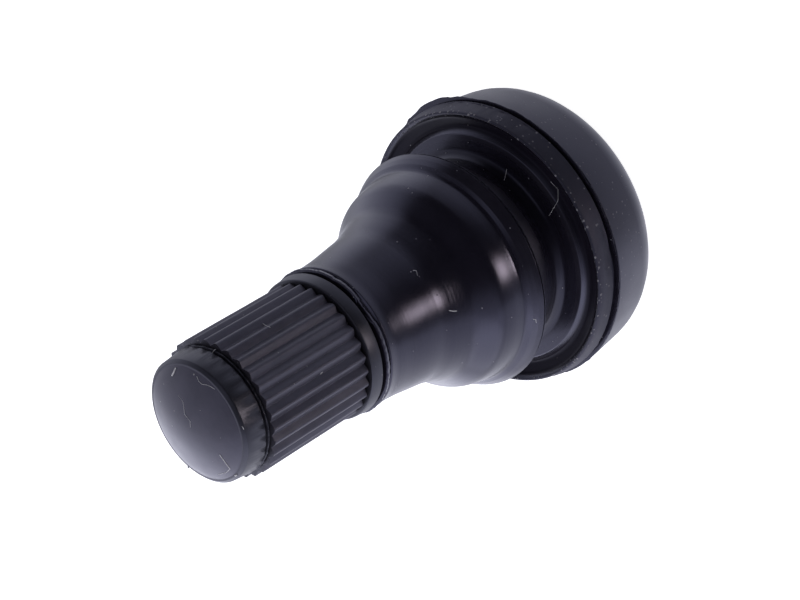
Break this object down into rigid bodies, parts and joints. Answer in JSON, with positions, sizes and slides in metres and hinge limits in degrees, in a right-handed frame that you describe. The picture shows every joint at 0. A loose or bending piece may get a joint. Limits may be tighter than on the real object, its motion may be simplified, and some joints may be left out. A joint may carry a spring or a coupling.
{
  "type": "tyre valve",
  "caption": "Short rubber snap-in tyre valve: round flanged foot, rim groove, tapered neck, brass stem, sprung valve core and ribbed screw cap.",
  "frame": {"origin": "centre of the base's bottom face, on the valve's axis", "axes": "+Z along the valve's axis from the base to the cap; X and Y across it"},
  "size_m": [0.0202, 0.0202, 0.0344],
  "materials": {
    "body_rubber": "smooth moulded, semi-gloss",
    "stem_brass": "turned, satin",
    "cap_plastic": "moulded, satin",
    "seal_rubber": "matt",
    "core_brass": "turned",
    "gasket_plastic": "smooth",
    "pin_steel": "drawn wire"
  },
  "bodies": {
    "valve": {"rubber_body": "body_rubber", "stem_insert": "stem_brass", "core_swivel": "core_brass", "core_barrel": "core_brass", "barrel_gasket": "gasket_plastic", "core_spring": "pin_steel"},
    "lifting_seal": {"cap_seal": "seal_rubber"},
    "turning_cap": {"cap": "cap_plastic"},
    "sliding_pin": {"core_pin": "pin_steel", "core_cup": "core_brass", "cup_gasket": "seal_rubber"}
  },
  "joints": [
    {"name": "cap_lift", "type": "slide", "parent": "valve", "child": "lifting_seal", "axis": [0, 0, 1], "range_m": [0, 0.0096]},
    {"name": "cap_turn", "type": "hinge", "parent": "lifting_seal", "child": "turning_cap", "pos_m": [0, 0, 0.028], "axis": [0, 0, 1], "range_deg": [0, 4355]},
    {"name": "pin_press", "type": "slide", "parent": "valve", "child": "sliding_pin", "axis": [0, 0, 1], "range_m": [-0.0018, 0], "stiffness_N_per_m": 500, "springref_m": 0.004, "deforming": ["core_spring"]}
  ],
  "couplings": [
    {"joint": "cap_turn", "follows": "cap_lift", "rad_per_m": 7915.8}
  ]
}
